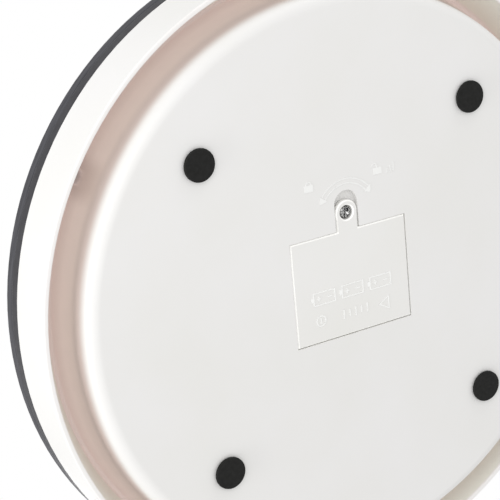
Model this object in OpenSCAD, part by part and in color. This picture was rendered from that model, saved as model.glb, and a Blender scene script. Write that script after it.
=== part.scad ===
// Round electronic bathroom scale: a white moulded base pan with a deep ring channel round its
// flat underside, four small rubber feet on strain-gauge cells, a screwed battery door, and a
// dark glass platform on a plastic frame. Millimetres, +Z up, the floor at Z = 0 under the feet.
// Seen from above, the display is towards +Y.

/* [Overall] */
// Outside diameter of the base pan, the widest part
scale_d = 300; // [296:1:304]
// Height of the flat underside above the floor, which is how far the feet stand proud
foot_proud = 2; // [1.5:0.1:3]
// Height of the base pan, from its flat underside to its top edge
pan_h = 34; // [34:0.5:36]
// Height of the dark platform frame that shows below the glass
frame_t = 5.5; // [5:0.5:8]
// Thickness of the platform glass
glass_t = 6.5; // [5:0.5:8]

/* [Base pan] */
// Wall thickness of the base pan
wall = 2.5; // [2.2:0.1:2.8]
// Radius at which the flat underside would meet the side of the ring channel
shoulder_x = 131.8; // [130:0.2:133]
// Rounding of that shoulder
shoulder_r = 6; // [5:0.5:10]
// Radius of the deepest line of the ring channel
channel_x = 138.8; // [138:0.2:139.6]
// Depth of the ring channel below the flat underside
channel_depth = 28; // [26:0.5:28.5]
// Height of the skirt's lower lip above the flat underside
lip_rise = 7.6; // [6:0.2:9]
// Width of the lip
lip_w = 2.2; // [1.8:0.1:2.6]
// Direction of the first of four housing screws, from +X towards +Y
screw_angle = 31.5; // [28:0.5:35]

/* [Feet] */
// Distance of each foot from the centre along X and along Y
foot_xy = 72; // [70:0.5:73]
// Radius of the rubber foot pad, which hides the hole in the pan
foot_pad_r = 7.5; // [7:0.1:8.5]
// Space above the pad: how far a foot is pressed in, and the clearance left then
foot_lift = 0.7; // [0.7:0.1:0.9]

/* [Battery door] */
// Centre of the door in X
door_x = -1; // [-4:0.2:4]
// Centre of the door in Y
door_y = 0; // [-3:0.2:2]
// Width of the door in X
door_w = 62.2; // [62:0.1:64]
// Length of the door in Y, without its tab
door_l = 49.4; // [49:0.1:51]
// Thickness of the door
door_t = 2.2; // [2:0.1:2.3]
// Width of the bevel round the door's lower edge
door_bevel = 0.6; // [0.4:0.1:0.8]
// Gap between the door and the pan
door_gap = 0.35; // [0.3:0.05:0.5]
// Width of the screw tab
tab_w = 11.5; // [11:0.1:12]
// Distance from the door's edge to the screw in its tab
tab_reach = 8.25; // [8:0.25:11]

/* [Batteries] */
// Diameter of one AA cell
cell_d = 14.5; // [14:0.1:14.5]
// Length of one AA cell with its positive cap
cell_l = 50.5; // [49.5:0.1:50.5]
// Distance between neighbouring cells
cell_pitch = 15.1; // [15:0.05:15.2]

/* [Display] */
// Distance of the display from the centre
display_y = 92; // [88:1:94]
// Width of the display panel
display_w = 70; // [60:1:72]
// Length of the display panel
display_l = 30; // [24:1:32]

/* [Hidden] */
$fn = 96;
eps = 0.01;

pan_r = scale_d / 2;

// Heights of the main layers
z_flat = foot_proud;
z_floor = z_flat + wall;
z_lip = z_flat + lip_rise;
z_crease = z_flat + channel_depth;
z_ridge = z_crease + 2.6;
z_pan = z_flat + pan_h;
z_frame = z_pan + frame_t;
z_top = z_frame + glass_t;

// Slopes of the two channel walls, as radius gained for each millimetre of height
inner_slope = (channel_x - shoulder_x) / channel_depth;
outer_slope = (pan_r - lip_w - channel_x) / (channel_depth - lip_rise);
skirt_inner_r = pan_r - 2.6;

// Foot stack, from the pad up to the load cell's cover
foot_ring_r = foot_xy * sqrt(2);
pad_h = foot_proud - foot_lift;
stem_r = 5.6;
foot_hole_r = stem_r + 0.5;
plug_flange_r = 10.6;
plug_flange_z = z_floor + 0.5;
plug_flange_t = 1.6;
stud_r = 3.2;
damper_z = z_floor + 4.7;
gauge_z = z_floor + 6.5;
gauge_t = 2;
gauge_side = 30;
cover_z = gauge_z + gauge_t;
cover_t = 5;
cover_side = 44;
cover_post_xy = 19;
rail_y = 14;

// Platform frame
plate_t = 2;
seat_depth = 0.8;
plate_top = z_frame - seat_depth;
plate_low = plate_top - plate_t;
rib_h = 5;
shadow_gap = 0.5;
spigot_r = skirt_inner_r - 0.3;
film_t = 0.3;

// Battery compartment
well_x = 57.4;
well_y = 3 * cell_pitch + 0.7;
well_wall = 1.8;
ledge_t = 2;
well_top = z_floor + 16.5;
cell_z = z_floor + 1.55 + cell_d / 2;
foam_t = 1.4;

// Door hinge line: the outer lower corner of the pan's edge next to the hooks
hinge_y = door_y - door_l / 2 - door_gap;
hook_x = 17;
hook_w = 9;
screw_y = door_y + door_l / 2 + tab_reach;
pocket_w = tab_w + 1.1;
pocket_end_y = screw_y + 4.25;
finger_depth = 3;
relief = 0.12;

// Screw in the door
head_r = 2.9;
head_z = z_flat + 0.7;
head_t = 2;
cup_r = 4.6;
cup_top = z_flat + 4;
shank_r = 1.25;
shank_tip = z_flat + 7.5;
insert_r = 2.6;
insert_bore_r = 1.75;

// Circuit board
pcb_x = 70;
pcb_y = 28;
pcb_mid_y = 55;
pcb_z = plate_low - 6.2;
pcb_t = 1.6;

function unit(v) = v / norm(v);

// Part of s that is square to the direction d, as a unit vector
function square_to(s, d) = unit(s - (s * d) * d);

// Points of the arc of radius r that rounds the corner p between its neighbours a and b
function rounded(a, p, b, r, n = 10) =
    let (ua = unit(a - p), ub = unit(b - p), half = acos(ua * ub) / 2,
         c = p + unit(ua + ub) * r / sin(half),
         t0 = p + ua * r / tan(half) - c, t1 = p + ub * r / tan(half) - c,
         a0 = atan2(t0.y, t0.x), turn = atan2(t1.y, t1.x) - a0,
         sweep = turn > 180 ? turn - 360 : turn < -180 ? turn + 360 : turn)
    [for (i = [0:n]) c + r * [cos(a0 + sweep * i / n), sin(a0 + sweep * i / n)]];

// Smooth route through the points p, with k steps from each to the next
function route(p, k = 3) =
    [for (i = [0:len(p) - 2], j = [0:k - 1])
        let (a = p[max(i - 1, 0)], b = p[i], c = p[i + 1], d = p[min(i + 2, len(p) - 1)], t = j / k)
        0.5 * (2 * b + (c - a) * t + (2 * a - 5 * b + 4 * c - d) * t * t
               + (3 * b - a - 3 * c + d) * t * t * t),
     p[len(p) - 1]];

// Round tube of radius r swept along the route p, with flat ends
module tube(p, r, sides = 8) {
    n = len(p);
    heading = [for (i = [0:n - 1]) unit(p[min(i + 1, n - 1)] - p[max(i - 1, 0)])];
    start = abs(heading[0].z) > 0.9 ? [1, 0, 0] : [0, 0, 1];
    // Each ring's sideways direction is the last one's, turned as little as the route allows
    across = [for (i = 0, s = start; i < n; i = i + 1, s = square_to(s, heading[min(i, n - 1)]))
              square_to(s, heading[i])];
    rings = [for (i = [0:n - 1], k = [0:sides - 1])
        let (a = 360 * k / sides, up = cross(across[i], heading[i]))
        p[i] + r * (cos(a) * across[i] + sin(a) * up)];
    skin = [for (i = [0:n - 2], k = [0:sides - 1], half = [0, 1])
        let (a = i * sides + k, b = i * sides + (k + 1) % sides)
        half == 0 ? [a, a + sides, b + sides] : [a, b + sides, b]];
    caps = [[for (k = [0:sides - 1]) k], [for (k = [sides - 1:-1:0]) (n - 1) * sides + k]];
    polyhedron(rings, concat(skin, caps), convexity = 6);
}

module at_foot(i) {
    rotate(45 + 90 * i) translate([foot_ring_r, 0, 0]) children();
}

module at_housing_screws() {
    for (i = [0:3]) rotate(screw_angle + 90 * i) translate([channel_x, 0, 0]) children();
}

module at_cover_posts() {
    for (x = [-1, 1], y = [-1, 1]) translate([x * cover_post_xy, y * cover_post_xy, 0]) children();
}

// Box centred on x, y and standing on z
module block(x, y, z, size) {
    translate([x - size.x / 2, y - size.y / 2, z]) cube(size);
}

// Cylinder on the Z axis from z0 up to z1
module cylinder_up(r, z0, z1) {
    translate([0, 0, z0]) cylinder(r = r, h = z1 - z0);
}

// Slot outline of width w, from y = 0 to a round end centred on y = reach
module tongue_outline(w, reach) {
    translate([-w / 2, 0]) square([w, reach]);
    translate([0, reach]) circle(d = w);
}

// Crosshead recess cut upwards from z = 0
module cross_recess(span, depth) {
    for (a = [45, 135])
        rotate([90, 0, a]) translate([0, 0, -0.4]) linear_extrude(0.8)
            polygon([[-span / 2, -1], [span / 2, -1], [span / 2, 0], [span / 5, depth],
                     [-span / 5, depth], [-span / 2, 0]]);
}

// Pan-head screw with its head from z = 0 up to head_h and its shank above
module screw_up(hr, hh, sr, length) {
    difference() {
        union() {
            rotate_extrude() polygon(concat([[0, 0]], rounded([0, 0], [hr, 0], [hr, hh], hh * 0.7),
                                            [[hr, hh], [0, hh]]));
            translate([0, 0, hh - eps]) cylinder(r = sr, h = length + eps);
        }
        cross_recess(hr * 1.3, hh * 0.65);
    }
}

/* ---- Base pan ---- */

// Outline of the pan with its inside filled, as a half section
module pan_outer() {
    shoulder = [shoulder_x, z_flat];
    crease = [channel_x, z_crease];
    lip_in = [pan_r - lip_w, z_lip];
    lip_out = [pan_r, z_lip];
    rim = [pan_r, z_pan];
    polygon(concat([[0, z_flat]],
                   rounded([0, z_flat], shoulder, crease, shoulder_r, 14),
                   rounded(shoulder, crease, lip_in, 1.2, 6),
                   rounded(crease, lip_in, lip_out, 0.7, 4),
                   rounded(lip_in, lip_out, rim, 0.9, 5),
                   rounded(lip_out, rim, [0, z_pan], 0.4, 3),
                   [[0, z_pan]]));
}

// Hollow inside of the pan, as a half section
module pan_hollow() {
    wall_x = shoulder_x - wall * 1.03;
    corner = [wall_x + inner_slope * wall, z_floor];
    ridge_in = [wall_x + inner_slope * (z_ridge - z_flat), z_ridge];
    ridge_out = [channel_x + 2.2, z_ridge];
    pocket_z = z_lip + 11;
    pocket_x = channel_x + 2.6 + outer_slope * (z_crease - pocket_z);
    polygon(concat([[0, z_floor]],
                   rounded([0, z_floor], corner, ridge_in, shoulder_r - wall, 10),
                   [ridge_in, ridge_out, [pocket_x, pocket_z], [skirt_inner_r, pocket_z],
                    [skirt_inner_r, z_pan + 1], [0, z_pan + 1]]));
}

// Everything that stands up inside the pan, to be kept when the hollow is cut
module pan_internals() {
    at_housing_screws() translate([0, 0, z_lip]) cylinder(r = 5.2, h = z_pan - z_lip);
    for (i = [0:3]) at_foot(i) foot_socket();
    stiffening_ribs();
    battery_well();
    translate([door_x, screw_y, z_floor - 1]) cylinder(r = 7, h = 12.5);
    block(door_x, screw_y - 1, z_floor - 1, [20, 27, 3]);
}

module foot_socket() {
    at_cover_posts() translate([0, 0, z_floor - 1]) cylinder(r = 3.4, h = cover_z - z_floor + 1);
    for (s = [-1, 1]) block(0, s * rail_y, z_floor - 1, [gauge_side, 2, gauge_z - z_floor + 1]);
}

module stiffening_ribs() {
    rib_z = z_floor - 1;
    translate([0, 0, rib_z]) difference() {
        cylinder(r = 119, h = 5.5);
        translate([0, 0, -1]) cylinder(r = 117.2, h = 8);
    }
    for (a = [0:15:345])
        if (abs((a % 90) - 45) > 16) rotate(a) block(123.5, 0, rib_z, [12, 1.6, 5.5]);
}

module battery_well() {
    block(door_x, door_y, z_floor - 1, [door_w + 8, door_l + 8, ledge_t + 1]);
    block(door_x, door_y, z_floor, [well_x + 2 * well_wall, well_y + 2 * well_wall,
                                    well_top - z_floor + well_wall]);
    for (s = [-1, 1])
        block(door_x + s * hook_x, hinge_y - 2.5, z_floor - 1, [hook_w + 5, 9, 6]);
}

// Space cut out for the door, its hooks, its tab and the finger recess
module door_cuts() {
    block(door_x, door_y, z_flat - 1, [door_w + 2 * door_gap, door_l + 2 * door_gap, wall + 1]);
    block(door_x, door_y, z_floor - 1, [well_x, well_y, well_top - z_floor + 1]);
    for (s = [-1, 1])
        block(door_x + s * hook_x, hinge_y + 1, z_floor, [hook_w + 1.2, 10, 4]);
    translate([door_x, door_y, z_flat - 1]) linear_extrude(wall + 1)
        tongue_outline(pocket_w, screw_y - door_y);
    translate([door_x, door_y, z_flat - 1]) linear_extrude(finger_depth + 1)
        tongue_outline(pocket_w, pocket_end_y - door_y);
    translate([door_x, screw_y, z_floor - 1]) cylinder(r = cup_r + 0.6, h = 1 + cup_top + 0.4 - z_floor);
    translate([door_x, screw_y, z_floor]) cylinder(r = insert_r, h = cup_top + 6 - z_floor);
    for (s = [-1, 1], i = [-1, 0, 1])
        block(door_x + s * (well_x / 2 - 0.4), door_y + i * cell_pitch, well_top - 1, [0.8, 4, 4]);
}

// Raised direction arc and lock marks around the door screw, as seen from above
module turn_marks() {
    arc_from = 37;
    arc_to = 143;
    for (r = [14, 16.2]) difference() {
        circle(r = r);
        circle(r = r - 0.6);
        polygon([[0, 0], 60 * [cos(arc_to), sin(arc_to)], [-60, -60], [60, -60],
                 60 * [cos(arc_from), sin(arc_from)]]);
    }
    for (s = [-1, 1]) rotate(s * (arc_to - 90)) translate([0, 14.8])
        polygon([[0, -2.4], [0, 2.4], [-s * 3, 0]]);
    translate([19, 15.5]) padlock(0);
    translate([-18, 15.5]) padlock(1.6);
    for (i = [0:2]) translate([-23.5 - 1.8 * i, 13.4]) square([0.6, 2.4 + i]);
}

// Padlock outline with its shackle lifted by open
module padlock(open) {
    square([4.6, 3.2], center = true);
    translate([open, 1.6 + open * 0.4]) difference() {
        circle(r = 1.7);
        circle(r = 1.1);
        translate([-2, -4]) square([4, 4]);
    }
    if (open > 0) translate([open - 1.7, 1.4]) square([0.6, 0.9]);
}

module base_pan() {
    color("#f1f0ec") {
        difference() {
            rotate_extrude($fn = 180) pan_outer();
            difference() {
                rotate_extrude($fn = 180) pan_hollow();
                pan_internals();
            }
            door_cuts();
            for (i = [0:3]) at_foot(i) {
                translate([0, 0, z_flat - 1]) cylinder(r = foot_hole_r, h = wall + 2);
                at_cover_posts() translate([0, 0, z_floor + 1]) cylinder(r = 1.1, h = 12);
            }
            at_housing_screws() {
                cylinder_up(3.3, z_crease - 5, z_pan - 2.8);
                cylinder(r = 1.8, h = z_pan + 1);
            }
        }
        translate([door_x, screw_y, z_flat - relief]) linear_extrude(relief + 0.2) turn_marks();
    }
}

/* ---- Platform ---- */

module platform_frame() {
    rim_low = z_pan + shadow_gap;
    rim_out = [pan_r - 0.2, rim_low];
    color("#3f3f45") difference() {
        union() {
            rotate_extrude($fn = 180) polygon(concat(
                [[0, plate_low], [spigot_r - 2.4, plate_low], [spigot_r - 2.4, z_pan - 3.5],
                 [spigot_r, z_pan - 3.5], [spigot_r, z_pan], [pan_r - 1.4, z_pan],
                 [pan_r - 1.4, rim_low]],
                rounded([pan_r - 1.4, rim_low], rim_out, [pan_r - 0.2, z_frame], 0.5, 4),
                rounded(rim_out, [pan_r - 0.2, z_frame], [0, z_frame], 0.3, 3),
                [[pan_r - 4, z_frame], [pan_r - 4, plate_top], [0, plate_top]]));
            for (i = [0:3]) at_foot(i) translate([0, 0, cover_z + cover_t])
                cylinder(r = 9, h = plate_low - cover_z - cover_t + 1);
            at_housing_screws() translate([0, 0, z_pan]) cylinder(r = 4.4, h = plate_low - z_pan + 1);
            for (a = [0, 45, 135, 180, 225, 270, 315])
                rotate(a) block(95, 0, plate_low - rib_h, [96, 1.8, rib_h + 1]);
            pcb_posts();
        }
        for (i = [0:3]) at_foot(i) translate([0, 0, cover_z]) cylinder(r = 6.5, h = plate_low - cover_z);
        at_housing_screws() translate([0, 0, z_pan - 1]) cylinder(r = 1.2, h = plate_top - z_pan);
        block(0, display_y, plate_low - 1, [display_w + 0.6, display_l + 0.6, plate_t + 2]);
        at_pcb_posts() translate([0, 0, pcb_z]) cylinder(r = 0.9, h = plate_top - 1 - pcb_z);
    }
}

module at_pcb_posts() {
    for (x = [-1, 1], y = [-1, 1])
        translate([x * (pcb_x / 2 - 4), pcb_mid_y + y * (pcb_y / 2 - 4), 0]) children();
}

module pcb_posts() {
    at_pcb_posts() translate([0, 0, pcb_z + pcb_t]) cylinder(r = 2.6, h = plate_low - pcb_z - pcb_t + 1);
}

module platform_glass() {
    r = pan_r - 0.4;
    low = [r, z_frame];
    high = [r, z_top];
    color("#2c2d33") rotate_extrude($fn = 180)
        polygon(concat([[0, z_frame]], rounded([0, z_frame], low, high, 1.2, 6),
                       rounded(low, high, [0, z_top], 1.6, 8), [[0, z_top]]));
}

module safety_film() {
    color("#141417") translate([0, 0, z_frame - film_t]) difference() {
        cylinder(r = pan_r - 4.6, h = film_t, $fn = 180);
        block(0, display_y, -1, [display_w - 6, display_l - 6, film_t + 2]);
    }
}

module glass_tape() {
    color("#1d1d1f") translate([0, 0, plate_top]) difference() {
        cylinder(r = pan_r - 5, h = seat_depth - film_t, $fn = 180);
        translate([0, 0, -1]) cylinder(r = pan_r - 23, h = 3, $fn = 180);
    }
}

/* ---- Display and electronics ---- */

module display_panel() {
    color("#20262a") block(0, display_y, plate_low, [display_w, display_l, plate_t]);
}

module display_backlight() {
    color("#e8eef2") block(0, display_y, plate_low - 3, [display_w, display_l, 3]);
}

module display_holder() {
    floor_z = plate_low - 4.2;
    color("#e9e8e2") difference() {
        block(0, display_y, floor_z, [display_w + 6, display_l + 6, plate_low - floor_z]);
        block(0, display_y, plate_low - 3.2, [display_w + 0.6, display_l + 0.6, 4]);
        block(0, display_y - 11, floor_z - 1, [21, 1.6, 3]);
    }
}

module display_ribbon() {
    strip_z = pcb_z + pcb_t;
    rise_y = display_y - 11;
    start_y = pcb_mid_y + 4;
    color("#c98b3c") {
        translate([-10, start_y, strip_z]) cube([20, rise_y - start_y, 0.3]);
        translate([-10, rise_y - 0.3, strip_z]) cube([20, 0.3, plate_low - 3 - strip_z]);
    }
}

module main_pcb() {
    color("#1f6b3a") difference() {
        block(0, pcb_mid_y, pcb_z, [pcb_x, pcb_y, pcb_t]);
        at_pcb_posts() translate([0, 0, pcb_z - 1]) cylinder(r = 1.4, h = pcb_t + 2);
    }
}

module main_chip() {
    color("#101010") translate([-8, pcb_mid_y, pcb_z]) mirror([0, 0, 1]) rotate_extrude()
        polygon(concat([[0, 0], [6.5, 0]], rounded([6.5, 0], [6, 1.6], [0, 1.6], 1.2, 4), [[0, 1.6]]));
}

module capacitor() {
    color("#26365e") translate([14, pcb_mid_y - 4, pcb_z - 7]) cylinder(r = 2.5, h = 7);
}

module lead_socket() {
    color("#f4f1e6") difference() {
        block(17, pcb_mid_y + 8, pcb_z - 5, [10, 5, 5]);
        for (x = [14, 20]) translate([x, pcb_mid_y + 8, pcb_z - 6]) cylinder(r = 1.2, h = 4);
    }
}

module pcb_screws() {
    color("#b9bcc0") at_pcb_posts() translate([0, 0, pcb_z - 1.4]) screw_up(2.2, 1.4, 0.9, 5.4);
}

/* ---- Foot stacks: each is built round the foot's own axis ---- */

module load_cell() {
    color("#b4b6ba") difference() {
        block(0, 0, gauge_z, [gauge_side, gauge_side, gauge_t]);
        for (s = [-1, 1]) block(0, s * 8, gauge_z - 1, [22, 2, gauge_t + 2]);
        block(10, 0, gauge_z - 1, [2, 18, gauge_t + 2]);
    }
}

module gauge_cover() {
    color("#f2f2f0") block(-8, 0, cover_z, [5, 8, 1.2]);
}

module cell_cover() {
    color("#dcdcd8") difference() {
        block(0, 0, cover_z, [cover_side, cover_side, cover_t]);
        block(0, 0, cover_z - 1, [26, 26, 3.5]);
        block(-18, 0, cover_z - 1, [12, 4.4, 3.5]);
        at_cover_posts() translate([0, 0, cover_z - 1]) cylinder(r = 1.6, h = cover_t + 2);
    }
}

module cover_screws() {
    color("#b9bcc0") for (i = [0:3]) at_foot(i) at_cover_posts()
        translate([0, 0, cover_z + cover_t + 1.8]) mirror([0, 0, 1]) screw_up(2.8, 1.8, 1.1, cover_t + 7);
}

module foot_damper() {
    color("#55565a") translate([0, 0, damper_z]) cylinder(r = 2.8, h = gauge_z - damper_z);
}

module foot_plug() {
    color("#2b2b2b") {
        cylinder_up(stem_r, pad_h, plug_flange_z + eps);
        cylinder_up(plug_flange_r, plug_flange_z, plug_flange_z + plug_flange_t);
        cylinder_up(stud_r, plug_flange_z, damper_z);
    }
}

module foot_pad() {
    low = [foot_pad_r, 0];
    high = [foot_pad_r, pad_h];
    color("#2d2c2a") rotate_extrude() polygon(concat([[0, 0]], rounded([0, 0], low, high, 0.6, 6),
                                                      [high, [0, pad_h]]));
}

/* ---- Leads ---- */

module cell_lead(i) {
    side = (i == 0 || i == 3) ? 1 : -1;
    start = (foot_ring_r - 10.7) / sqrt(2);
    out = foot_ring_r / sqrt(2) - 18;
    back = i > 1;
    over_floor = back ? [[52, -42, 3.5], [47, -14, 2.5], [45, 14, 2.5], [42, 34, 6.5], [34, 44, 17.5]]
                      : [[44, 58, 6.5], [35, 62, 14.5]];
    via = [for (q = over_floor) q + [0, 0, z_floor]];
    last = [28, back ? 48 : 61, pcb_z - 0.15];
    sy = back ? -1 : 1;
    half = concat([[start, sy * start, cover_z + 1.25], [out, sy * out, cover_z + 1.2]], via,
                  [last - [0, 0, 5], last]);
    color("#c43a32") tube(route([for (q = half) [side * q.x, q.y, q.z]]), 1.05);
}

module battery_lead(from, via, to, tint) {
    start = from + [0, 0, 0.2];
    over_tail = [for (q = via) q + [0, 0, tail_top]];
    color(tint) tube(route(concat([start, start + [0, 0, 2.8]], over_tail, [to - [0, 0, 6], to])), 0.8);
}

/* ---- Batteries, contacts and door ---- */

// Face of the compartment's end wall on side s, and the height of the solder tails
function end_x(s) = door_x + s * well_x / 2;
tail_top = well_top + well_wall + 2.2;

// Spring plate in cell bay i at end s, with a tail through the compartment's roof
module contact_plate(s, i, tail = true) {
    y = door_y + i * cell_pitch;
    block(end_x(s) - s * 0.25, y, cell_z - 5.5, [0.5, 11, 11]);
    if (tail) block(end_x(s) - s * 0.25, y, cell_z + 5, [0.5, 3, tail_top - cell_z - 5]);
}

// Coil of touching rings that presses on the cell's flat end
module contact_spring(s, i) {
    rings = 4;
    length = well_x - cell_l - 2.3;
    translate([end_x(s) - s * 0.5, door_y + i * cell_pitch, cell_z]) rotate([0, -s * 90, 0])
        for (k = [0:rings - 1])
            translate([0, 0, length * (k + 0.5) / rings]) rotate_extrude()
                translate([4.4 - 0.35 * k, 0]) circle(d = length / rings + 0.12, $fn = 24);
}

// Pressed button that meets the cell's positive cap
module contact_button(s, i) {
    translate([end_x(s) - s * 0.5, door_y + i * cell_pitch, cell_z]) rotate([0, -s * 90, 0])
        translate([0, 0, -eps]) cylinder(r1 = 3, r2 = 2, h = 1.2 + eps, $fn = 48);
}

// Strap that joins the plates of two neighbouring bays at end s
module contact_strap(s, i) {
    block(end_x(s) - s * 0.25, door_y + (i + 0.5) * cell_pitch, cell_z - 3, [0.5, 6, 6]);
}

module contact_positive() {
    color("#c9ccd0") {
        contact_plate(1, -1);
        contact_button(1, -1);
    }
}

module contact_negative() {
    color("#c9ccd0") {
        contact_plate(-1, 1);
        contact_spring(-1, 1);
    }
}

module contact_bridge(s, spring_bay, button_bay) {
    color("#c9ccd0") {
        contact_plate(s, spring_bay, false);
        contact_plate(s, button_bay, false);
        contact_strap(s, min(spring_bay, button_bay));
        contact_spring(s, spring_bay);
        contact_button(s, button_bay);
    }
}

// AA cell in bay i with its positive cap towards side s
module battery(i, s) {
    cap_x = end_x(s) - s * 1.7;
    cap_h = 1.2;
    body_l = cell_l - cap_h;
    r = cell_d / 2;
    color("#4a6f9c") translate([cap_x, door_y + i * cell_pitch, cell_z]) rotate([0, -s * 90, 0])
        rotate_extrude() polygon(concat(
            [[0, 0], [2.7, 0], [2.7, cap_h]],
            rounded([2.7, cap_h], [r, cap_h], [r, body_l], 0.6, 4),
            rounded([r, cap_h], [r, cell_l], [0, cell_l], 0.6, 4), [[0, cell_l]]));
}

// Plate of x by y by t with its lower outside edges bevelled by c
module bevelled_plate(x, y, t, c) {
    intersection() {
        translate([-x / 2, 0, 0]) rotate([90, 0, 90]) linear_extrude(x) bevelled_side(y, t, c);
        translate([0, y / 2, 0]) rotate([90, 0, 0]) linear_extrude(y) bevelled_side(x, t, c);
    }
}

module bevelled_side(w, t, c) {
    polygon([[c - w / 2, 0], [w / 2 - c, 0], [w / 2, c], [w / 2, t], [-w / 2, t], [-w / 2, c]]);
}

// Hook that wraps over the pan's edge, as a side view with the hinge line at the origin
module door_hook() {
    rotate([90, 0, 90]) translate([0, 0, -hook_w / 2]) linear_extrude(hook_w)
        polygon([[door_gap, door_t - door_bevel], [door_gap, 2.9], [-3.4, 2.9], [-3.4, 4.2], [-3, 4.6],
                 [2.6, 4.6], [3, 4.2], [3, door_t - door_bevel]]);
}

// Raised battery symbols and plain marks on the door, as seen from above
module door_marks() {
    for (i = [-1, 0, 1]) translate([15.4 * i, -3.7]) difference() {
        union() {
            square([12, 6.4], center = true);
            translate([6.4, 0]) square([1.6, 2.4], center = true);
        }
        difference() {
            square([10.8, 5.2], center = true);
            for (x = [-3, 3]) translate([x, 0]) square([2.4, 0.6], center = true);
            translate([3, 0]) square([0.6, 2.4], center = true);
        }
    }
    translate([18, -14.4]) difference() {
        circle(r = 2.7);
        circle(r = 2.1);
    }
    translate([18, -14.4]) square([0.6, 3], center = true);
    for (i = [0:4]) translate([5.5 - 3.2 * i, -14.4]) square([0.6, 4.6 - 1.2 * (i % 2)], center = true);
    translate([-17.5, -15]) difference() {
        circle(r = 4, $fn = 3);
        circle(r = 2.8, $fn = 3);
    }
}

module battery_door() {
    color("#f3f2ee") difference() {
        union() {
            translate([door_x, door_y, z_flat]) bevelled_plate(door_w, door_l, door_t, door_bevel);
            translate([door_x, door_y, z_flat + door_bevel]) linear_extrude(door_t - door_bevel)
                tongue_outline(tab_w, screw_y - door_y);
            translate([door_x, screw_y, z_flat])
                cylinder(r1 = tab_w / 2 - door_bevel, r2 = tab_w / 2, h = door_bevel);
            block(door_x, screw_y - 6, z_flat, [tab_w - 2 * door_bevel, 12, door_bevel + eps]);
            translate([door_x, screw_y, 0]) cylinder_up(cup_r, z_flat + door_t - eps, cup_top);
            for (s = [-1, 1]) translate([door_x + s * hook_x, hinge_y, z_flat]) door_hook();
            translate([door_x, door_y, z_flat - relief]) linear_extrude(relief + 0.2) door_marks();
        }
        translate([door_x, screw_y, z_flat - 1]) cylinder(r = 3.4, h = head_z + head_t + 0.05 - z_flat + 1);
        translate([door_x, screw_y, z_flat - eps]) cylinder(r1 = 4, r2 = 3.4, h = 0.6);
        translate([door_x, screw_y, z_flat]) cylinder(r = 1.7, h = 6);
    }
}

module door_foam() {
    color("#3a3a3c") block(door_x, door_y, z_flat + door_t, [50, 38, foam_t]);
}

module door_screw() {
    color("#8f9296") translate([door_x, screw_y, head_z])
        screw_up(head_r, head_t, shank_r, shank_tip - head_z - head_t);
}

module screw_insert() {
    color("#b08d45") translate([door_x, screw_y, cup_top + 0.4]) difference() {
        cylinder(r = insert_r, h = 5.5);
        translate([0, 0, -1]) cylinder(r = insert_bore_r, h = 8);
    }
}

module housing_screws() {
    color("#b9bcc0") at_housing_screws() translate([0, 0, z_pan - 2.8 - 1.9])
        screw_up(2.7, 1.9, 1.2, 6);
}

base_pan();
platform_frame();
platform_glass();
safety_film();
glass_tape();
display_panel();
display_backlight();
display_holder();
display_ribbon();
main_pcb();
main_chip();
capacitor();
lead_socket();
pcb_screws();
at_foot(0) load_cell();  // load_cell_1
at_foot(1) load_cell();  // load_cell_2
at_foot(2) load_cell();  // load_cell_3
at_foot(3) load_cell();  // load_cell_4
at_foot(0) gauge_cover();  // gauge_cover_1
at_foot(1) gauge_cover();  // gauge_cover_2
at_foot(2) gauge_cover();  // gauge_cover_3
at_foot(3) gauge_cover();  // gauge_cover_4
at_foot(0) cell_cover();  // cell_cover_1
at_foot(1) cell_cover();  // cell_cover_2
at_foot(2) cell_cover();  // cell_cover_3
at_foot(3) cell_cover();  // cell_cover_4
cover_screws();
at_foot(0) foot_damper();  // foot_damper_1
at_foot(1) foot_damper();  // foot_damper_2
at_foot(2) foot_damper();  // foot_damper_3
at_foot(3) foot_damper();  // foot_damper_4
at_foot(0) foot_plug();  // foot_plug_1
at_foot(1) foot_plug();  // foot_plug_2
at_foot(2) foot_plug();  // foot_plug_3
at_foot(3) foot_plug();  // foot_plug_4
at_foot(0) foot_pad();  // foot_pad_1
at_foot(1) foot_pad();  // foot_pad_2
at_foot(2) foot_pad();  // foot_pad_3
at_foot(3) foot_pad();  // foot_pad_4
cell_lead(0);  // cell_lead_1
cell_lead(1);  // cell_lead_2
cell_lead(2);  // cell_lead_3
cell_lead(3);  // cell_lead_4
battery_lead([end_x(1) - 0.25, door_y - cell_pitch, tail_top],  // battery_lead_red
                 [[25, 4, 3], [23, 40, 2]], [20, pcb_mid_y + 8, pcb_z - 5], "#c0392b");
battery_lead([end_x(-1) + 0.25, door_y + cell_pitch, tail_top],  // battery_lead_black
                 [[-20, 32, 3], [4, 44, 1]], [14, pcb_mid_y + 8, pcb_z - 5], "#222222");
contact_positive();
contact_negative();
contact_bridge(-1, -1, 0);  // contact_bridge_left
contact_bridge(1, 0, 1);  // contact_bridge_right
battery(-1, 1);  // battery_1
battery(0, -1);  // battery_2
battery(1, 1);  // battery_3
battery_door();
door_foam();
door_screw();
screw_insert();
housing_screws();
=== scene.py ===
"""Looks of a round electronic bathroom scale, seen from below: materials, display digits, light, camera.

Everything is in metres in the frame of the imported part: +Z up, floor at Z = 0 under the feet.
"""

import math

import bpy
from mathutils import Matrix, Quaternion, Vector


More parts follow.
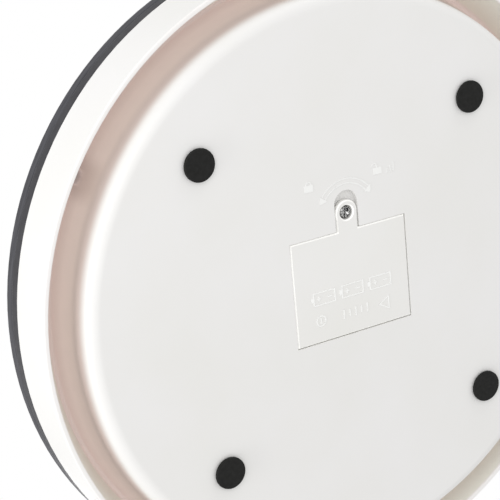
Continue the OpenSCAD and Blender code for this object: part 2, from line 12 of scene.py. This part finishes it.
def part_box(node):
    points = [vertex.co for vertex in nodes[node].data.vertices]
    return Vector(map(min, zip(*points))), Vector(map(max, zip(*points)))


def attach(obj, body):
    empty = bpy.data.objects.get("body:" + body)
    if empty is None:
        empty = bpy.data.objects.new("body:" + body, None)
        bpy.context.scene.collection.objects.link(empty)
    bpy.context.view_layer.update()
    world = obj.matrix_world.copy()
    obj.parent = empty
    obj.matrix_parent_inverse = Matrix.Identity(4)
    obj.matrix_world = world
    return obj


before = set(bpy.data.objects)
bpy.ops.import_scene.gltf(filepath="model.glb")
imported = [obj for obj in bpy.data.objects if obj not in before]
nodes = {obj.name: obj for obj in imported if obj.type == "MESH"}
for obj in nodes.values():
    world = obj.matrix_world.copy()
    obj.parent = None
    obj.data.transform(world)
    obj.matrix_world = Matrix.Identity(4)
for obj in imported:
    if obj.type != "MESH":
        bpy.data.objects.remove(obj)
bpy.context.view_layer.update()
MM = 0.001

CHANNEL_WALL_R = 131.3 * MM  # radius of the ring channel's inner wall, carried down to Z = 0
CHANNEL_SLOPE = 0.25  # radius that wall gains for each metre of height
CHANNEL_WARM_Z = (5.2 * MM, 10.6 * MM)  # heights over which the painted pinkish shade on the wall begins
CHANNEL_SHADE_Z = (11.5 * MM, 15 * MM)  # heights over which the wall's painted shade near the shoulder gives way to a lighter painted colour deeper in
CHANNEL_DEEP_Z = (12 * MM, 21 * MM)  # heights over which the painted glow on the wall grows, standing for light that the thin wall lets in
CHANNEL_FOOT_Z = (27 * MM, 31 * MM)  # heights over which the wall falls back to painted shade at the crease
WELL_SHADE = (4 * MM, 13 * MM)  # distances from a housing screw over which the painted shade around its boss fades out
CHANNEL_START_R = (127 * MM, 131 * MM)  # radii over which the flat underside becomes the channel
CHANNEL_WALL_SKIN = (1.2 * MM, 3.4 * MM)  # distances outside the inner wall over which its painted shade and painted glow end
CHANNEL_FOOT_WARMTH = 0.35  # share of the painted pinkish shade that is left at the crease
WELL_R = (3.3 * MM, 4.3 * MM)  # distances from a housing screw over which its well ends
WELL_Z = (23 * MM, 26 * MM)  # heights over which a painted glow begins inside a well
SKIRT_R = (147.4 * MM, 147.9 * MM)  # radii over which the skirt's inside becomes its outside
LIP_R = (146 * MM, 147 * MM)  # radii over which the skirt's lip begins
FLAT_Z = 2 * MM  # the pan's flat underside; the embossed marks stand below it
LIP_Z = 9.6 * MM  # lowest part of the skirt

# Emission strengths of painted light: painted glow for light let in by thin plastic, painted highlights where
# light catches on an edge
CHANNEL_PAINTED_GLOW = 0.16  # painted glow on the ring channel's inner wall
LIP_PAINTED_HIGHLIGHT = 0.06  # painted highlight on the skirt's lip
WELL_PAINTED_GLOW = 0.1  # painted glow inside the housing-screw wells
DOOR_EDGE_PAINTED_HIGHLIGHT = 0.2  # painted highlight on the battery door's bevel
MARK_PAINTED_HIGHLIGHT = 0.04  # painted highlight on the embossed marks of the battery door

# Painted light and shade: embossed marks painted lighter as a highlight, the skirt's inside in painted shade,
# the channel wall in painted shade and painted light, and darker painted shade where a screw boss stands
MARK_HIGHLIGHT_WHITE = (251, 251, 249)
SKIRT_INSIDE_SHADE = (238, 238, 228)
WALL_SHADED = (198, 182, 176)
WALL_LIT = (213, 196, 188)
WALL_WELL_SHADE = (184, 164, 154)

GROUND_EDGE_R = (147.2 * MM, 148.6 * MM)  # radii over which the glass's face becomes its ground edge
WINDOW_X, WINDOW_Y = 32 * MM, 12 * MM  # half the display window
DIGIT_H = 17 * MM
DIGIT_T = 0.08 * MM  # how far the lit print stands above the panel
DIGIT_STEP = 9 * MM  # distance of each digit from the middle of the display
DIGIT_BAR = 0.13  # width of a segment, as a share of the digit's height
DIGIT_GAP = 0.025  # space at each end of a segment, as the same share
DIGIT_HALF_W = 0.26  # half the digit's width, as the same share
POINT_DROP = 0.43  # how far below the middle the decimal point is, as the same share
POINT_R = 1.1 * MM
POINT_SIDES = 24
# Ends of each lit segment, in half widths and half heights from the digit's middle
SEGMENT_ENDS = {"a": ((-1, 1), (1, 1)), "b": ((1, 1), (1, 0)), "c": ((1, 0), (1, -1)),
                "d": ((-1, -1), (1, -1)), "e": ((-1, 0), (-1, -1)), "f": ((-1, 1), (-1, 0))}
FLOOR_HALF = 12.0  # half the floor's side

# ---------------------------------------------------------------- camera

AIM = Vector((0.05058, 0.02818, 0.002))  # point of the flat underside in the middle of the view
CAMERA_AZIMUTH = math.radians(124.185)
CAMERA_ELEVATION = math.radians(-55.381)
CAMERA_ROLL = math.radians(-66.195)
CAMERA_DISTANCE = 0.87752
LENS = 144.36
SENSOR = 36.0


def make_camera():
    back = Vector((math.sin(CAMERA_AZIMUTH) * math.cos(CAMERA_ELEVATION),
                   -math.cos(CAMERA_AZIMUTH) * math.cos(CAMERA_ELEVATION),
                   math.sin(CAMERA_ELEVATION)))
    camera = bpy.data.objects.new("camera", bpy.data.cameras.new("camera"))
    camera.data.lens = LENS
    camera.data.sensor_width = SENSOR
    camera.data.clip_start = 0.01
    camera.data.clip_end = 200.0
    camera.location = AIM + back * CAMERA_DISTANCE
    camera.rotation_mode = "QUATERNION"
    level = (-back).to_track_quat("-Z", "Y")
    camera.rotation_quaternion = level @ Quaternion((0, 0, 1), CAMERA_ROLL)
    bpy.context.scene.collection.objects.link(camera)
    bpy.context.scene.camera = camera


# ---------------------------------------------------------------- material kit


class Shader:
    """One procedural material: its Principled node and short helpers that add nodes to it."""

    def __init__(self, name, **plain):
        self.material = bpy.data.materials.new(name)
        self.material.use_nodes = True
        self.tree = self.material.node_tree
        self.bsdf = next(n for n in self.tree.nodes if n.type == "BSDF_PRINCIPLED")
        for socket, value in plain.items():
            self.bsdf.inputs[socket.replace("_", " ")].default_value = value
        self.where = self.add("ShaderNodeTexCoord").outputs["Object"]

    def add(self, kind, **settings):
        made = self.tree.nodes.new(kind)
        for key, value in settings.items():
            setattr(made, key, value)
        return made

    def feed(self, socket, value):
        """Joins an output to a socket, or sets the socket to a plain value."""
        if isinstance(value, bpy.types.NodeSocket):
            self.tree.links.new(value, socket)
        else:
            socket.default_value = value

    def set(self, **sockets):
        for name, value in sockets.items():
            self.feed(self.bsdf.inputs[name.replace("_", " ")], value)
        return self

    def base_colour(self):
        """The output that feeds the base colour so far."""
        return self.bsdf.inputs["Base Color"].links[0].from_socket

    def math(self, operation, a, b=0.0):
        n = self.add("ShaderNodeMath", operation=operation)
        for socket, value in zip(n.inputs, (a, b)):
            self.feed(socket, value)
        return n.outputs[0]

    def hypot(self, x, y):
        """Length of the flat vector x, y."""
        return self.math("SQRT", self.math("ADD", self.math("MULTIPLY", x, x), self.math("MULTIPLY", y, y)))

    def noise(self, size, detail=3.0, rough=0.5, stretch=None):
        """Noise whose features are about size metres across, its scale times stretch on each axis."""
        place = self.where
        if stretch is not None:
            scaled = self.add("ShaderNodeMapping")
            scaled.inputs["Scale"].default_value = stretch
            self.feed(scaled.inputs["Vector"], place)
            place = scaled.outputs[0]
        n = self.add("ShaderNodeTexNoise")
        n.inputs["Scale"].default_value = 1.0 / size
        n.inputs["Detail"].default_value = detail
        n.inputs["Roughness"].default_value = rough
        self.feed(n.inputs["Vector"], place)
        return n.outputs[0]

    def cells(self, size, feature="F1", randomness=1.0):
        n = self.add("ShaderNodeTexVoronoi", feature=feature)
        n.inputs["Scale"].default_value = 1.0 / size
        n.inputs["Randomness"].default_value = randomness
        self.feed(n.inputs["Vector"], self.where)
        return n.outputs["Distance"]

    def spread(self, value, low, high, to_low=0.0, to_high=1.0, smooth=False):
        """value from low..high to to_low..to_high, clamped."""
        n = self.add("ShaderNodeMapRange", clamp=True)
        if smooth:
            n.interpolation_type = "SMOOTHSTEP"
        for socket, number in zip(n.inputs, (value, low, high, to_low, to_high)):
            self.feed(socket, number)
        return n.outputs[0]

    def mix(self, share, a, b):
        n = self.add("ShaderNodeMix", data_type="RGBA")
        self.feed(n.inputs[0], share)
        self.feed(n.inputs[6], colour(a) if isinstance(a, tuple) else a)
        self.feed(n.inputs[7], colour(b) if isinstance(b, tuple) else b)
        return n.outputs[2]

    def axes(self):
        split = self.add("ShaderNodeSeparateXYZ")
        self.feed(split.inputs[0], self.where)
        return split.outputs

    def edges(self, radius):
        """1 along edges that are sharper than radius would round them, 0 on plain faces."""
        bevel = self.add("ShaderNodeBevel", samples=4)
        bevel.inputs["Radius"].default_value = radius
        geometry = self.add("ShaderNodeNewGeometry")
        dot = self.add("ShaderNodeVectorMath", operation="DOT_PRODUCT")
        self.feed(dot.inputs[0], bevel.outputs[0])
        self.feed(dot.inputs[1], geometry.outputs["Normal"])
        return self.spread(dot.outputs["Value"], 0.995, 0.85)

    def bump(self, height, depth, strength=1.0, soft_edge=None):
        """Bump of depth metres from a height of 0..1, over edges rounded by soft_edge."""
        n = self.add("ShaderNodeBump")
        n.inputs["Strength"].default_value = strength
        n.inputs["Distance"].default_value = depth
        self.feed(n.inputs["Height"], height)
        if soft_edge:
            bevel = self.add("ShaderNodeBevel", samples=4)
            bevel.inputs["Radius"].default_value = soft_edge
            self.feed(n.inputs["Normal"], bevel.outputs[0])
        self.feed(self.bsdf.inputs["Normal"], n.outputs[0])
        return self


def colour(rgb):
    """Linear colour with alpha from an sRGB triple of 0..255."""
    def linear(c):
        c = c / 255.0
        return c / 12.92 if c <= 0.04045 else ((c + 0.055) / 1.055) ** 2.4
    return tuple(linear(c) for c in rgb) + (1.0,)


def paint(material, *names):
    for name in names:
        slots = nodes[name].data.materials
        for i in range(len(slots)):
            slots[i] = material


def family(stem):
    """Nodes whose name is stem, or stem and a number."""
    return sorted(n for n in nodes if n == stem or n[:-1] == stem + "_")


# ---------------------------------------------------------------- materials


def grained_plastic(name, pale, deep, roughness, wear_and_highlight=(255, 254, 250)):
    """Moulded plastic with a spark-eroded grain, cloudy colour, and edges lighter from rubbing and from a
    painted edge highlight.
    """
    s = Shader(name, IOR=1.5)
    cloud = s.noise(60 * MM, detail=4.0)
    flow = s.noise(9 * MM, detail=2.0)
    body = s.mix(s.spread(cloud, 0.3, 0.7), pale, deep)
    # lighter edges: partly rubbed wear, partly a painted edge highlight
    edge = s.math("MULTIPLY", s.edges(0.5 * MM), s.spread(flow, 0.35, 0.65, 0.1, 0.7))
    s.set(Base_Color=s.mix(edge, body, wear_and_highlight))
    rough = s.spread(s.noise(3 * MM, detail=5.0), 0.3, 0.7, roughness - 0.06, roughness + 0.06)
    s.set(Roughness=s.math("SUBTRACT", rough, s.math("MULTIPLY", edge, 0.08)))
    pits = s.math("ADD", s.noise(0.5 * MM, detail=2.0), s.math("MULTIPLY", s.cells(0.8 * MM), 0.5))
    s.bump(pits, 0.02 * MM, 0.6, soft_edge=0.25 * MM)
    return s


def pan_plastic():
    """Satin white moulding; the ring channel carries painted pinkish shade and a painted glow that stand for
    light let in by its thin wall.
    """
    s = grained_plastic("pan_white", (243, 242, 241), (240, 239, 236), 0.42)
    x, y, z = s.axes()
    radius = s.hypot(x, y)
    off_wall = s.math("SUBTRACT", radius, s.math("MULTIPLY", z, CHANNEL_SLOPE))
    skin_low, skin_high = (CHANNEL_WALL_R + thick for thick in CHANNEL_WALL_SKIN)
    on_wall = s.spread(off_wall, skin_low, skin_high, 1.0, 0.0)
    ring = s.math("MULTIPLY", s.spread(radius, *CHANNEL_START_R), on_wall)
    # mask of the painted pinkish shade on the channel wall
    warm = s.math("MULTIPLY", ring, s.spread(z, *CHANNEL_WARM_Z, smooth=True))
    # depth ramp of the painted glow, and of the painted shade near the screw bosses
    deep = s.spread(z, *CHANNEL_DEEP_Z)
    # painted shade near the shoulder, a lighter painted colour deeper in
    lit = s.spread(z, *CHANNEL_SHADE_Z)
    gap = well_gap(s, x, y)
    # painted shade around each housing-screw boss
    wells = s.math("MULTIPLY", deep, s.spread(gap, *WELL_SHADE, 1.0, 0.0, smooth=True))
    # painted glow inside each well
    hole = s.math("MULTIPLY", s.spread(gap, *WELL_R, 1.0, 0.0), s.spread(z, *WELL_Z))
    # painted shade at the crease
    clear = s.spread(z, *CHANNEL_FOOT_Z, 1.0, 0.0)
    warm = s.math("MULTIPLY", warm, s.spread(clear, 0.0, 1.0, CHANNEL_FOOT_WARMTH, 1.0))
    inside = s.spread(radius, SKIRT_R[1], SKIRT_R[0])
    # painted shade on the skirt's inside
    skirt = s.math("MULTIPLY", s.spread(z, LIP_Z + 0.2 * MM, LIP_Z + 1.2 * MM), inside)
    skirt = s.math("MULTIPLY", skirt, s.math("SUBTRACT", 1.0, on_wall))
    # embossed marks painted lighter as a highlight
    white = s.mix(raised(s, z), s.base_colour(), MARK_HIGHLIGHT_WHITE)
    shaded = s.mix(skirt, white, SKIRT_INSIDE_SHADE)
    wall = s.mix(wells, s.mix(lit, WALL_SHADED, WALL_LIT), WALL_WELL_SHADE)
    s.set(Base_Color=s.mix(warm, shaded, wall))
    # pinkish colour of the painted glow
    s.set(Emission_Color=colour((255, 236, 234)))
    # painted glow on the channel wall
    painted_glow = s.math("MULTIPLY", s.math("MULTIPLY", warm, deep), s.math("MULTIPLY", clear, CHANNEL_PAINTED_GLOW))
    # painted highlight on the skirt's lip
    lip = s.math("MULTIPLY", s.spread(z, LIP_Z + 0.9 * MM, LIP_Z + 0.3 * MM, 0.0, LIP_PAINTED_HIGHLIGHT),
                 s.spread(radius, *LIP_R))
    s.set(Emission_Strength=s.math("ADD", s.math("ADD", painted_glow, lip), s.math("MULTIPLY", hole, WELL_PAINTED_GLOW)))
    return s.material


def well_gap(s, x, y):
    """Distance from the nearest of the four evenly spaced housing screws, seen along Z."""
    screws = nodes["housing_screws"]
    places = [screws.matrix_world @ v.co for v in screws.data.vertices]
    quarter = [p for p in places if p.x > 0 and p.y > 0]
    middle = sum(quarter, Vector()) / len(quarter)
    radius, angle = math.hypot(middle.x, middle.y), math.atan2(middle.y, middle.x)
    cos, sin = math.cos(angle), math.sin(angle)
    along = s.math("ABSOLUTE", s.math("ADD", s.math("MULTIPLY", x, cos), s.math("MULTIPLY", y, sin)))
    across = s.math("ABSOLUTE", s.math("SUBTRACT", s.math("MULTIPLY", y, cos), s.math("MULTIPLY", x, sin)))
    far = s.math("SUBTRACT", s.math("MAXIMUM", along, across), radius)
    side = s.math("MINIMUM", along, across)
    return s.hypot(far, side)


def raised(s, z):
    """1 on marks that stand out below the flat underside."""
    return s.spread(z, FLAT_Z - 0.03 * MM, FLAT_Z - 0.08 * MM)


def door_plastic():
    s = grained_plastic("door_white", (244, 243, 241), (241, 240, 236), 0.4)
    z = s.axes()[2]
    # embossed marks painted lighter, with a faint painted glow, as a highlight
    mark = raised(s, z)
    s.set(Base_Color=s.mix(mark, s.base_colour(), MARK_HIGHLIGHT_WHITE))
    # painted highlight on the tilted faces of the door's bevel
    lean = s.add("ShaderNodeSeparateXYZ")
    s.feed(lean.inputs[0], s.add("ShaderNodeTexCoord").outputs["Normal"])
    tilted = s.spread(s.math("ABSOLUTE", lean.outputs[2]), 0.97, 0.85)
    bevel = s.math("MULTIPLY", s.spread(z, FLAT_Z + 0.01 * MM, FLAT_Z + 0.06 * MM),
                   s.spread(z, FLAT_Z + 0.8 * MM, FLAT_Z + 0.6 * MM))
    s.set(Emission_Color=colour((255, 255, 252)))
    edge = s.math("MULTIPLY", s.math("MULTIPLY", tilted, bevel), DOOR_EDGE_PAINTED_HIGHLIGHT)
    s.set(Emission_Strength=s.math("ADD", edge, s.math("MULTIPLY", mark, MARK_PAINTED_HIGHLIGHT)))
    return s.material


def dark_plastic(name, pale, deep, wear_and_highlight, roughness=0.42):
    return grained_plastic(name, pale, deep, roughness, wear_and_highlight=wear_and_highlight).material


def dark_glass(centre):
    """Back-printed safety glass: clear over the display, dark elsewhere, with a ground edge."""
    s = Shader("dark_glass", IOR=1.52)
    x, y, z = s.axes()
    reach_x = s.spread(s.math("ABSOLUTE", x), WINDOW_X + 1 * MM, WINDOW_X + 3 * MM, 1.0, 0.0)
    reach_y = s.spread(s.math("ABSOLUTE", s.math("SUBTRACT", y, centre)),
                       WINDOW_Y + 1 * MM, WINDOW_Y + 3 * MM, 1.0, 0.0)
    window = s.math("MULTIPLY", reach_x, reach_y)
    s.set(Transmission_Weight=window)
    ground = s.spread(s.hypot(x, y), *GROUND_EDGE_R)
    streak = s.noise(5 * MM, detail=4.0, stretch=(0.35, 0.35, 3.0))
    haze = s.noise(40 * MM, detail=5.0)
    face = s.mix(s.spread(haze, 0.3, 0.7), (30, 31, 36), (24, 25, 29))
    edge = s.mix(s.spread(streak, 0.35, 0.65), (70, 70, 76), (50, 50, 56))
    s.set(Base_Color=s.mix(window, s.mix(ground, face, edge), (205, 208, 212)))
    polish = s.spread(s.noise(18 * MM, detail=6.0), 0.35, 0.75, 0.02, 0.07)
    s.set(Roughness=s.math("ADD", polish, s.math("MULTIPLY", ground, 0.5)))
    s.bump(s.noise(25 * MM, detail=1.0), 0.01 * MM, 0.3)
    return s.material


def rubber(name, pale, deep, roughness=0.7):
    s = Shader(name, IOR=1.4)
    dust = s.spread(s.noise(1.2 * MM, detail=6.0, rough=0.7), 0.55, 0.8)
    s.set(Base_Color=s.mix(s.math("MULTIPLY", dust, 0.2), deep, pale))
    s.set(Roughness=s.spread(s.noise(2 * MM), 0.3, 0.7, roughness - 0.08, roughness + 0.1))
    s.bump(s.noise(0.25 * MM, detail=3.0), 0.03 * MM, 0.7, soft_edge=0.3 * MM)
    return s.material


def foam(name, pale, deep, cell=0.6 * MM):
    s = Shader(name)
    pore = s.spread(s.cells(cell), 0.1, 0.5)
    s.set(Base_Color=s.mix(pore, deep, pale))
    s.set(Roughness=s.spread(s.noise(2 * MM), 0.3, 0.7, 0.86, 1.0))
    s.bump(pore, 0.15 * MM, 0.9)
    return s.material


def metal(name, bright, dark, roughness, brushed=None, contrast=(0.3, 0.7)):
    s = Shader(name, Metallic=1.0)
    streak = s.noise(0.6 * MM, detail=4.0, stretch=brushed)
    # lighter edges: rubbed metal and a painted edge highlight
    wear_and_highlight = s.math("MULTIPLY", s.edges(0.15 * MM), 0.5)
    body = s.mix(s.spread(streak, *contrast), bright, dark)
    s.set(Base_Color=s.mix(wear_and_highlight, body, (235, 235, 236)))
    s.set(Roughness=s.spread(s.noise(1.5 * MM, detail=5.0), 0.3, 0.7, roughness - 0.07, roughness + 0.1))
    s.bump(streak, 0.006 * MM, 0.5)
    return s.material


def sleeve(name, tint, deep, roughness=0.32):
    """Extruded insulation or a shrunk sleeve: even colour with faint flow lines and handling marks."""
    s = Shader(name, IOR=1.46)
    flow = s.noise(1.5 * MM, detail=3.0, stretch=(0.3, 0.3, 1.0))
    s.set(Base_Color=s.mix(s.spread(flow, 0.3, 0.7), tint, deep))
    s.set(Roughness=s.spread(s.noise(0.8 * MM, detail=4.0), 0.3, 0.7, roughness - 0.08, roughness + 0.14))
    s.bump(flow, 0.02 * MM, 0.4)
    return s.material


def circuit_board():
    """Green solder mask over copper tracks, with tinned pads."""
    s = Shader("circuit_board", IOR=1.5)
    tracks = s.spread(s.cells(3.2 * MM, "DISTANCE_TO_EDGE", 0.35), 0.05, 0.09, 1.0, 0.0)
    pads = s.spread(s.cells(4.1 * MM, randomness=0.5), 0.1, 0.13, 1.0, 0.0)
    mask = s.mix(s.math("MULTIPLY", tracks, 0.55), (28, 92, 52), (62, 138, 78))
    s.set(Base_Color=s.mix(s.math("MULTIPLY", pads, 0.9), mask, (186, 188, 184)))
    s.set(Metallic=s.math("MULTIPLY", pads, 0.8))
    s.set(Roughness=s.spread(s.noise(4 * MM), 0.3, 0.7, 0.28, 0.42))
    s.bump(s.math("ADD", tracks, pads), 0.04 * MM, 0.7)
    return s.material


def striped(name, tint, lines, pitch):
    """Film or sleeve with even printed stripes at right angles to X."""
    s = Shader(name, IOR=1.48)
    place = s.math("MULTIPLY", s.axes()[0], 1.0 / pitch)
    stripe = s.spread(s.math("PINGPONG", place, 0.5), 0.2, 0.26)
    s.set(Base_Color=s.mix(stripe, tint, lines))
    s.set(Roughness=s.spread(s.noise(3 * MM), 0.3, 0.7, 0.29, 0.45))
    s.bump(stripe, 0.03 * MM, 0.5)
    return s.material


def battery_sleeve(low_x, high_x, plus_high):
    """Blue printed sleeve with a coppered band at the plus end and bare steel ends.

    plus_high says that the plus end is the one at high_x. The limits below are shares of the
    cell's length, counted from its minus end.
    """
    s = Shader("cell_sleeve_" + ("a" if plus_high else "b"), IOR=1.5)
    along = s.spread(s.axes()[0], low_x, high_x, *((0.0, 1.0) if plus_high else (1.0, 0.0)))
    band = s.spread(along, 0.70, 0.705)
    line = s.math("MULTIPLY", s.spread(along, 0.665, 0.67), s.spread(along, 0.685, 0.69, 1.0, 0.0))
    blue = s.mix(s.spread(s.noise(12 * MM), 0.3, 0.7), (38, 62, 104), (30, 52, 92))
    printed = s.mix(band, blue, (176, 112, 62))
    steel = s.math("MAXIMUM", s.spread(along, 0.968, 0.972), s.spread(along, 0.012, 0.016, 1.0, 0.0))
    s.set(Base_Color=s.mix(steel, s.mix(line, printed, (226, 226, 222)), (178, 178, 180)))
    s.set(Metallic=s.math("MAXIMUM", steel, s.math("MULTIPLY", band, 0.7)))
    s.set(Roughness=s.spread(s.noise(2 * MM, detail=5.0), 0.3, 0.7, 0.2, 0.34))
    s.bump(s.noise(6 * MM, detail=2.0), 0.03 * MM, 0.4)
    return s.material


def glowing(name, tint, strength):
    """Lit segment: bright print with a soft mottle."""
    s = Shader(name)
    mottle = s.spread(s.noise(1.0 * MM, detail=3.0), 0.3, 0.7)
    lit = s.mix(mottle, tint, tuple(int(c * 0.93) for c in tint))
    s.set(Base_Color=lit, Emission_Color=lit, Emission_Strength=strength)
    s.set(Roughness=s.spread(s.noise(2 * MM), 0.3, 0.7, 0.4, 0.6))
    s.bump(mottle, 0.01 * MM, 0.3)
    return s.material


# ---------------------------------------------------------------- display


def display_piece(name, verts, faces, material):
    """Adds a mesh that lies on the display panel and stays with the base."""
    mesh = bpy.data.meshes.new(name)
    mesh.from_pydata(verts, [], faces)
    mesh.materials.append(material)
    piece = bpy.data.objects.new(name, mesh)
    bpy.context.scene.collection.objects.link(piece)
    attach(piece, "base")


def digit_piece(name, shown, centre_x, centre_y, top, material):
    """One seven-segment digit as thin bars with pointed ends, with the segments named in shown."""
    bar, gap = DIGIT_BAR * DIGIT_H, DIGIT_GAP * DIGIT_H
    half_w, half_h = DIGIT_HALF_W * DIGIT_H, 0.5 * DIGIT_H - bar / 2
    verts, faces = [], []
    for segment in shown:
        a, b = (Vector((p[0] * half_w, p[1] * half_h, 0)) for p in SEGMENT_ENDS[segment])
        along = (b - a).normalized()
        side = Vector((-along.y, along.x, 0)) * bar / 2
        a, b = a + along * gap, b - along * gap
        tip = along * bar / 2
        outline = [a, a + tip + side, b - tip + side, b, b - tip - side, a + tip - side]
        n = len(verts)
        for lift in (0.0, DIGIT_T):
            verts += [(p.x + centre_x, p.y + centre_y, top + lift) for p in outline]
        faces.append(tuple(range(n + 5, n - 1, -1)))
        faces.append(tuple(range(n + 6, n + 12)))
        faces += [(n + i, n + (i + 1) % 6, n + 6 + (i + 1) % 6, n + 6 + i) for i in range(6)]
    display_piece(name, verts, faces, material)


def point_piece(name, x, y, top, radius, material):
    """Round decimal point on the display panel."""
    sides = POINT_SIDES
    turns = [2 * math.pi * i / sides for i in range(sides)]
    ring = [(x + radius * math.cos(turn), y + radius * math.sin(turn)) for turn in turns]
    verts = [(*p, top) for p in ring] + [(*p, top + DIGIT_T) for p in ring]
    faces = [tuple(range(sides - 1, -1, -1)), tuple(range(sides, 2 * sides))]
    faces += [(i, (i + 1) % sides, sides + (i + 1) % sides, sides + i) for i in range(sides)]
    display_piece(name, verts, faces, material)


def make_display():
    low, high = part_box("display_panel")
    middle_x, middle_y, top = (low[0] + high[0]) / 2, (low[1] + high[1]) / 2, high[2]
    lit = glowing("display_segment", (214, 232, 240), 0.9)
    digit_piece("digit_left", "abcdef", middle_x - DIGIT_STEP, middle_y, top, lit)
    digit_piece("digit_right", "abcdef", middle_x + DIGIT_STEP, middle_y, top, lit)
    point_piece("digit_point", middle_x, middle_y - POINT_DROP * DIGIT_H, top, POINT_R, lit)


# ---------------------------------------------------------------- stage and light


def make_floor():
    """Pale floor at Z = 0 that shows only from above, so the underside can be looked at."""
    corners = [(x * FLOOR_HALF, y * FLOOR_HALF, 0) for x, y in ((-1, -1), (1, -1), (1, 1), (-1, 1))]
    mesh = bpy.data.meshes.new("floor")
    mesh.from_pydata(corners, [], [(0, 1, 2, 3)])
    floor = bpy.data.objects.new("floor", mesh)
    bpy.context.scene.collection.objects.link(floor)
    s = Shader("floor_pale", Roughness=0.75)
    s.set(Base_Color=s.mix(s.noise(0.4), (226, 226, 227), (221, 221, 222)))
    clear = s.add("ShaderNodeBsdfTransparent")
    below = s.add("ShaderNodeNewGeometry").outputs["Backfacing"]
    both = s.add("ShaderNodeMixShader")
    output = next(n for n in s.tree.nodes if n.type == "OUTPUT_MATERIAL")
    s.feed(both.inputs[0], below)
    s.feed(both.inputs[1], s.bsdf.outputs[0])
    s.feed(both.inputs[2], clear.outputs[0])
    s.feed(output.inputs["Surface"], both.outputs[0])
    mesh.materials.append(s.material)
    floor.visible_diffuse = False
    floor.visible_glossy = False
    floor.visible_transmission = False
    floor.visible_shadow = False


def make_world(seen, lit):
    """White surroundings: seen is their brightness behind the object, lit what they light it with."""
    world = bpy.data.worlds.new("studio")
    bpy.context.scene.world = world
    world.use_nodes = True
    tree = world.node_tree
    background = tree.nodes["Background"]
    background.inputs["Color"].default_value = (1.0, 1.0, 1.0, 1.0)
    path = tree.nodes.new("ShaderNodeLightPath")
    pick = tree.nodes.new("ShaderNodeMapRange")
    pick.inputs["To Min"].default_value = lit
    pick.inputs["To Max"].default_value = seen
    tree.links.new(path.outputs["Is Camera Ray"], pick.inputs["Value"])
    tree.links.new(pick.outputs[0], background.inputs["Strength"])


def area_light(name, place, aim, wide, tall, power):
    """White elliptical lamp at place, turned towards aim, that the camera doesn't see."""
    light = bpy.data.objects.new(name, bpy.data.lights.new(name, "AREA"))
    light.data.shape = "ELLIPSE"
    light.data.size = wide
    light.data.size_y = tall
    light.data.energy = power
    light.location = place
    light.rotation_mode = "QUATERNION"
    light.rotation_quaternion = (Vector(aim) - Vector(place)).to_track_quat("-Z", "Y")
    light.visible_camera = False
    bpy.context.scene.collection.objects.link(light)


def paint_everything():
    paint(pan_plastic(), "base_pan")
    paint(door_plastic(), "battery_door")
    # the frame's near-white edge colour is mostly a painted highlight along its lower edge
    paint(dark_plastic("frame_dark", (42, 41, 47), (35, 34, 40), (225, 225, 228)), "platform_frame")
    display_low, display_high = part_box("display_panel")
    paint(dark_glass((display_low[1] + display_high[1]) / 2), "platform_glass")
    paint(rubber("foot_rubber", (50, 48, 44), (17, 17, 15)), *family("foot_pad"))
    paint(rubber("damper_rubber", (104, 104, 108), (84, 84, 88), 0.6), *family("foot_damper"))
    steel = metal("screw_steel", (190, 190, 192), (150, 150, 154), 0.3)
    paint(steel, "housing_screws", "cover_screws", "pcb_screws")
    paint(metal("door_screw_steel", (214, 214, 212), (34, 34, 36), 0.16, contrast=(0.42, 0.56)), "door_screw")
    paint(metal("cell_steel", (196, 197, 200), (164, 165, 169), 0.34, (1.0, 8.0, 8.0)), *family("load_cell"))
    paint(metal("contact_nickel", (214, 214, 214), (186, 187, 188), 0.2, (1.0, 1.0, 6.0)),
          "contact_positive", "contact_negative", "contact_bridge_left", "contact_bridge_right")
    paint(metal("insert_brass", (206, 168, 92), (170, 132, 66), 0.3), "screw_insert")
    paint(rubber("gauge_silicone", (240, 240, 236), (224, 224, 220), 0.45), *family("gauge_cover"))
    natural = grained_plastic("natural_white", (226, 226, 220), (216, 216, 209), 0.5).material
    paint(natural, "display_holder", *family("cell_cover"))
    paint(grained_plastic("socket_nylon", (240, 234, 216), (230, 223, 202), 0.4).material, "lead_socket")
    paint(dark_plastic("plug_black", (44, 44, 44), (34, 34, 35), (78, 78, 80)), *family("foot_plug"))
    paint(dark_plastic("chip_epoxy", (30, 30, 32), (20, 20, 22), (52, 52, 54), 0.3), "main_chip")
    paint(sleeve("lead_red", (176, 40, 34), (150, 30, 26)), "battery_lead_red", *family("cell_lead"))
    paint(sleeve("lead_black", (38, 38, 40), (26, 26, 28)), "battery_lead_black")
    paint(sleeve("safety_film", (22, 22, 24), (14, 14, 16), 0.2), "safety_film")
    paint(striped("capacitor_sleeve", (36, 52, 96), (206, 208, 212), 5 * MM), "capacitor")
    paint(striped("flat_ribbon", (176, 112, 44), (206, 150, 78), 1 * MM), "display_ribbon")
    paint(circuit_board(), "main_pcb")
    paint(foam("bonding_tape", (46, 46, 48), (24, 24, 26), 0.3 * MM), "glass_tape")
    paint(foam("door_foam_grey", (78, 78, 82), (48, 48, 52)), "door_foam")
    paint(sleeve("display_face", (24, 30, 34), (18, 22, 26), 0.22), "display_panel")
    diffuser = grained_plastic("diffuser_white", (238, 242, 246), (230, 236, 242), 0.5).material
    paint(diffuser, "display_backlight")
    for name in family("battery"):
        low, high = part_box(name)
        paint(battery_sleeve(low[0], high[0], name != "battery_2"), name)


make_camera()
paint_everything()
make_display()
make_floor()
make_world(seen=1.0, lit=0.79)
area_light("key", place=(1.6, -0.28, -0.17), aim=(0, 0, 0.02), wide=1.4, tall=0.3, power=8.2)
area_light("below", place=(0.47, 0.395, -0.43), aim=(0.03, 0.03, 0), wide=0.4, tall=0.4, power=0.8)
area_light("rim", place=(-0.5, 1.4, -0.25), aim=(0, 0, 0), wide=0.6, tall=0.6, power=2.6)
area_light("top", place=(-0.6, -0.7, 1.6), aim=(0, 0, 0), wide=1.2, tall=1.2, power=10.0)
bpy.context.scene.view_settings.view_transform = "Standard"
